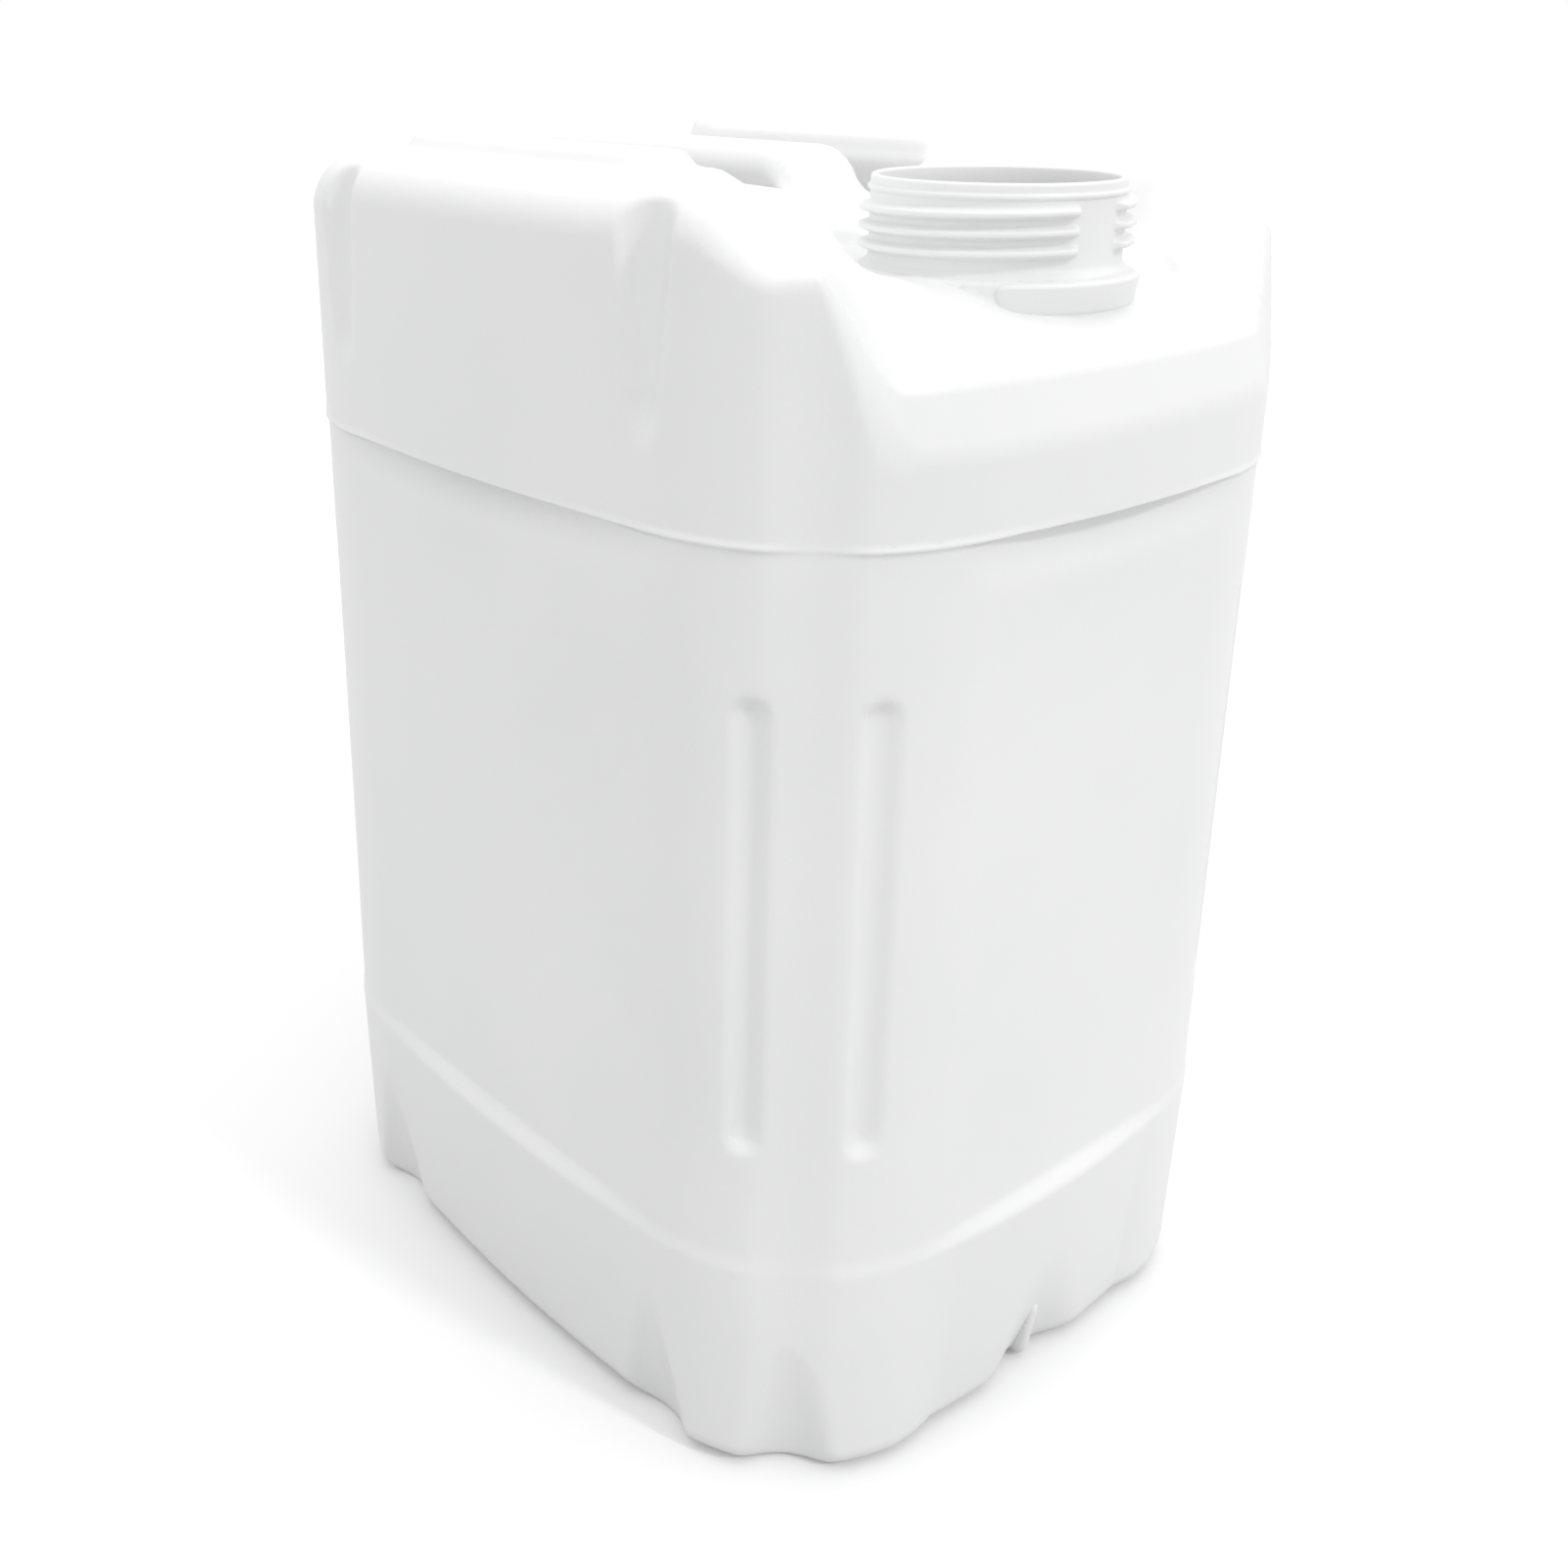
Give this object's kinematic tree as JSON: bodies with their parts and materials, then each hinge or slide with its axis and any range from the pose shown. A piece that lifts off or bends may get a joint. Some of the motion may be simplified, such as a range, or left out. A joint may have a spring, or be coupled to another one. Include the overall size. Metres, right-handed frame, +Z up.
{
  "type": "fresh water tank",
  "caption": "Stackable blow-moulded water can with a moulded-in handle, an open screw neck and its ribbed screw cap lying behind it.",
  "frame": {"origin": "centre of the face that the tank rests on", "axes": "+Z up through the tank, the neck end faces -Y, +X across the tank"},
  "size_m": [0.245, 0.3895, 0.396],
  "materials": {
    "natural_polyethylene": "satin, slightly translucent",
    "cap_plastic": "satin",
    "liner_foam": "matt closed-cell foam"
  },
  "bodies": {
    "tank": {"tank_body": "natural_polyethylene"},
    "cap": {"cap_shell": "cap_plastic", "cap_liner": "liner_foam", "cap_tamper_band": "cap_plastic"}
  },
  "joints": [
    {"name": "cap_lift", "type": "slide", "parent": "tank", "child": "cap", "axis": [0, 0, 1], "range_m": [0, 0.45]}
  ]
}
